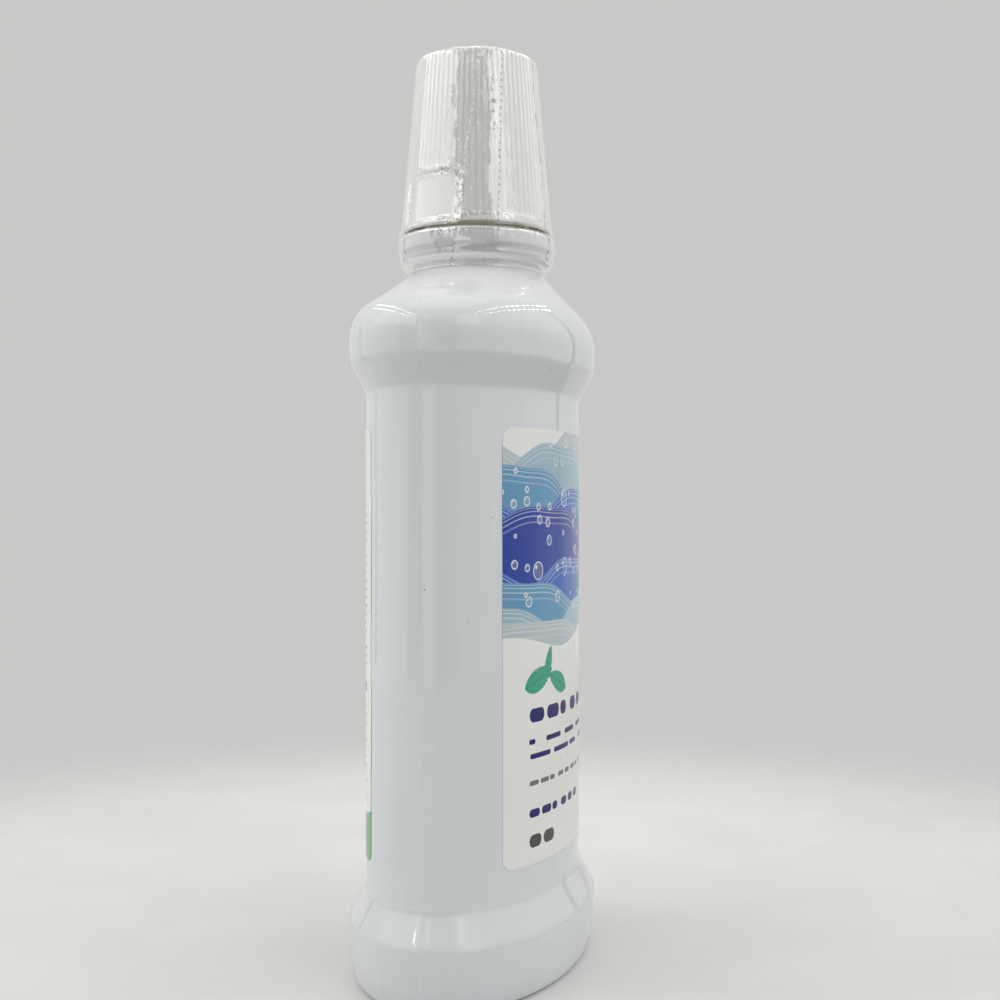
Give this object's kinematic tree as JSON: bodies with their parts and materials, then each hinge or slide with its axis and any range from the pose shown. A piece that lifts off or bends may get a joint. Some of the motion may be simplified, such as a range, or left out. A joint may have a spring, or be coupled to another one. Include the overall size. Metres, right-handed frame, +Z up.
{
  "type": "mouthwash bottle",
  "caption": "Flat oval white bottle for liquid, with front and back labels and a ribbed squeeze-and-turn cap, threaded dosing cup inside, sealed by a clear tear-off shrink sleeve.",
  "frame": {"origin": "middle of the foot, on the surface that the bottle stands on", "axes": "+Z up along the neck, X along the long axis of the oval section, front label facing -Y"},
  "size_m": [0.0938, 0.0562, 0.2181],
  "materials": {
    "bottle_plastic": "glossy white blow-moulded polyolefin",
    "cap_plastic": "satin off-white moulded polypropylene",
    "cup_plastic": "satin white moulded polypropylene",
    "seal_foam": "soft closed-cell seal",
    "label_film": "satin white self-adhesive film, printed",
    "clear_film": "clear glossy shrink film"
  },
  "bodies": {
    "bottle": {"bottle": "bottle_plastic", "front_label": "label_film", "back_label": "label_film", "sleeve_skirt": "clear_film", "tear_strip_tail": "clear_film"},
    "seal": {"seal_ring": "seal_foam"},
    "cap": {"outer_cap": "cap_plastic", "inner_cup": "cup_plastic", "sleeve": "clear_film", "tear_strip": "clear_film"}
  },
  "joints": [
    {"name": "cap_rise", "type": "slide", "parent": "bottle", "child": "seal", "axis": [0, 0, 1], "range_m": [0, 0.0049]},
    {"name": "cap_turn", "type": "hinge", "parent": "seal", "child": "cap", "pos_m": [0, 0, 0.19], "axis": [0, 0, 1], "range_deg": [0, 420]}
  ],
  "couplings": [
    {"joint": "cap_rise", "follows": "cap_turn", "m_per_rad": 0.00066845}
  ]
}
